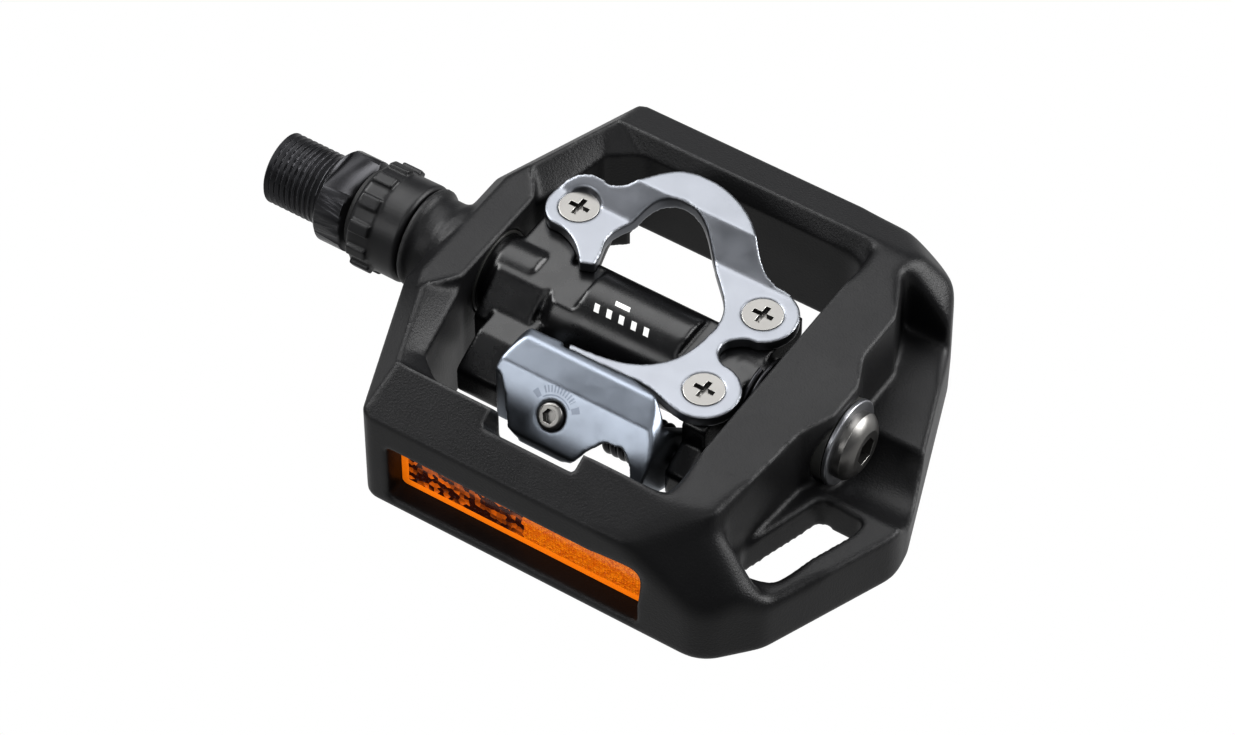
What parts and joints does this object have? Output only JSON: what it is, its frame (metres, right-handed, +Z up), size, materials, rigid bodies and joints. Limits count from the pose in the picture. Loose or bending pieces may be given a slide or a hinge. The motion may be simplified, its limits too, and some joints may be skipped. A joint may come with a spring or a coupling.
{
  "type": "clipless pedal",
  "caption": "One-sided cleat binding that pops up inside a moulded platform cage, on a threaded bicycle spindle.",
  "frame": {"origin": "on the spindle axis, at the crank-side face of the wrench flange, where it seats on the crank arm", "axes": "+X outboard along the spindle, +Y forward (fixed hook of the binding), +Z up (cleat side)"},
  "size_m": [0.1433, 0.0934, 0.0318],
  "materials": {
    "cage_resin": "satin fine-grained moulded nylon",
    "black_resin": "satin moulded resin",
    "body_black": "semi-gloss black electrocoat on die-cast aluminium",
    "satin_nickel": "bead-blasted satin nickel plate",
    "screw_nickel": "bright nickel plate",
    "spindle_steel": "black oxide on turned chromoly steel",
    "hard_steel": "ground hardened steel",
    "bearing_steel": "polished bearing steel",
    "spring_steel": "black oiled spring wire",
    "washer_steel": "zinc plated steel",
    "seal_rubber": "matt moulded rubber",
    "bushing_resin": "self-lubricating acetal",
    "amber_lens": "glossy moulded amber acrylic with prisms"
  },
  "bodies": {
    "spindle": {"spindle_axle": "spindle_steel", "outboard_cone": "hard_steel", "cone_lock_nut": "hard_steel"},
    "inboard_ball_ring": {"inboard_balls": "bearing_steel"},
    "outboard_ball_ring": {"outboard_balls": "bearing_steel"},
    "pedal_body": {"binding_body": "body_black", "lock_bolt": "black_resin", "dust_seal": "seal_rubber", "race_sleeve": "hard_steel", "front_binding_plate": "satin_nickel", "plate_screws": "screw_nickel", "claw_pivot_pin": "hard_steel", "claw_springs": "spring_steel", "popup_spring": "spring_steel", "cage_bolt": "screw_nickel", "bolt_washer": "washer_steel"},
    "claw": {"rear_claw": "satin_nickel"},
    "claw_screw": {"tension_screw": "screw_nickel"},
    "claw_nut": {"tension_plate": "hard_steel"},
    "platform": {"cage": "cage_resin", "inboard_bushing": "bushing_resin", "outboard_bushing": "bushing_resin", "rear_reflector_lens": "amber_lens", "rear_reflector_holder": "black_resin", "front_reflector_lens": "amber_lens", "front_reflector_holder": "black_resin"}
  },
  "joints": [
    {"name": "pedal_spin", "type": "hinge", "parent": "spindle", "child": "pedal_body", "pos_m": [0, 0, 0], "axis": [1, 0, 0], "continuous": true},
    {"name": "inboard_ball_orbit", "type": "hinge", "parent": "spindle", "child": "inboard_ball_ring", "pos_m": [0, 0, 0], "axis": [1, 0, 0], "continuous": true},
    {"name": "outboard_ball_orbit", "type": "hinge", "parent": "spindle", "child": "outboard_ball_ring", "pos_m": [0, 0, 0], "axis": [1, 0, 0], "continuous": true},
    {"name": "cage_popup", "type": "hinge", "parent": "pedal_body", "child": "platform", "pos_m": [0, 0, 0], "axis": [1, 0, 0], "range_deg": [0, 12], "stiffness_Nm_per_rad": 0.4, "springref_deg": -17.19},
    {"name": "claw_open", "type": "hinge", "parent": "pedal_body", "child": "claw", "pos_m": [0, -0.017, -0.004], "axis": [1, 0, 0], "range_deg": [0, 20], "stiffness_Nm_per_rad": 1, "springref_deg": -17.19},
    {"name": "tension_screw_turn", "type": "hinge", "parent": "claw", "child": "claw_screw", "pos_m": [0.067, -0.0276, 0.00465], "axis": [0, -0.7455, 0.6665], "range_deg": [-760, 760]},
    {"name": "tension_plate_slide", "type": "slide", "parent": "claw", "child": "claw_nut", "axis": [0, -0.7455, 0.6665], "range_m": [-0.0016, 0.0016]}
  ],
  "couplings": [
    {"joint": "inboard_ball_orbit", "follows": "pedal_spin", "ratio": 0.6278},
    {"joint": "outboard_ball_orbit", "follows": "pedal_spin", "ratio": 0.6278},
    {"joint": "tension_screw_turn", "follows": "tension_plate_slide", "rad_per_m": -7854.2}
  ]
}
